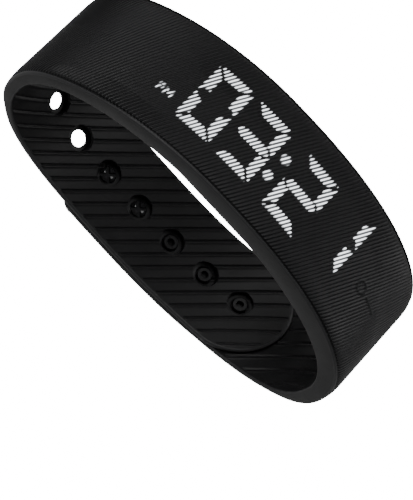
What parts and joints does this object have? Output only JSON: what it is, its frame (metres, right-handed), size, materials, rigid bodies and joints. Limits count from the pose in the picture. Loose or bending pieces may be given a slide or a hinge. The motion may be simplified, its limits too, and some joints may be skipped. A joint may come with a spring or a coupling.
{
  "type": "wristband activity tracker",
  "caption": "Silicone wristband with a slide-out tracker core, a clock display that shines through fine ribs, and snap studs that close the overlapping straps.",
  "frame": {"origin": "middle of the wrist opening, halfway across the band", "axes": "+X along the display in reading order, +Y across the band towards the top of the digits, +Z out of the display"},
  "size_m": [0.067, 0.02, 0.0439],
  "materials": {
    "silicone": "matt black silicone, fine ribs",
    "steel": "bright",
    "stud_nylon": "polished black nylon",
    "case_plastic": "fine matt",
    "seal_rubber": "soft",
    "smoked_cover": "smoked clear plastic",
    "board": "green solder mask",
    "gold_contact": "gold plated",
    "light_pipe": "clear light pipe, lit white",
    "unlit_pipe": "clear light pipe, unlit",
    "mask_plastic": "black, light tight",
    "film": "frosted film",
    "led": "white chip",
    "tape": "foam tape",
    "cell_foil": "crimped foil",
    "lead_cover": "insulated lead",
    "chip_plastic": "moulded chip",
    "copper": "bare copper"
  },
  "bodies": {
    "band": {"display_sleeve": "silicone", "holed_strap": "silicone"},
    "stud_bend": {"stud_strap_bend": "silicone"},
    "stud_middle": {"stud_strap_middle": "silicone"},
    "stud_end": {"stud_strap_end": "silicone", "clasp_plate": "steel", "snap_studs": "stud_nylon"},
    "core": {"core_base": "case_plastic", "core_seal": "seal_rubber", "core_cover": "smoked_cover", "main_board": "board", "board_screws": "steel", "charge_contacts": "gold_contact", "hours_segments": "light_pipe", "minutes_segments": "light_pipe", "unlit_segments": "unlit_pipe", "colon_dots": "light_pipe", "afternoon_mark": "light_pipe", "light_mask": "mask_plastic", "diffuser_film": "film", "hours_leds": "led", "minutes_leds": "led", "unlit_leds": "led", "colon_leds": "led", "afternoon_led": "led", "battery_tape": "tape", "battery_cell": "cell_foil", "battery_leads": "lead_cover", "controller_chip": "chip_plastic", "motion_sensor": "chip_plastic", "clock_crystal": "steel", "touch_pad": "copper", "motor_can": "steel", "motor_lid": "steel"},
    "motor_rotor": {"motor_weight": "steel", "motor_shaft": "steel"}
  },
  "joints": [
    {"name": "strap_bend", "type": "hinge", "parent": "band", "child": "stud_bend", "pos_m": [0.0343, 0, 0], "axis": [0, -1, 0], "range_deg": [0, 18], "stiffness_Nm_per_rad": 0.05},
    {"name": "strap_flex", "type": "hinge", "parent": "stud_bend", "child": "stud_middle", "pos_m": [0.02477, 0, -0.01497], "axis": [0, -1, 0], "range_deg": [0, 34], "stiffness_Nm_per_rad": 0.05},
    {"name": "strap_peel", "type": "hinge", "parent": "stud_middle", "child": "stud_end", "pos_m": [0.01144, 0, -0.0201], "axis": [0, -1, 0], "range_deg": [0, 34], "stiffness_Nm_per_rad": 0.05},
    {"name": "core_release", "type": "slide", "parent": "band", "child": "core", "axis": [0, 0, -1], "range_m": [0, 0.014]},
    {"name": "motor_spin", "type": "hinge", "parent": "core", "child": "motor_rotor", "pos_m": [0.0096, 0, 0.0155], "axis": [0, 0, 1], "continuous": true}
  ],
  "couplings": [
    {"joint": "strap_flex", "follows": "strap_peel", "ratio": 1},
    {"joint": "strap_bend", "follows": "strap_peel", "ratio": 0.5}
  ]
}
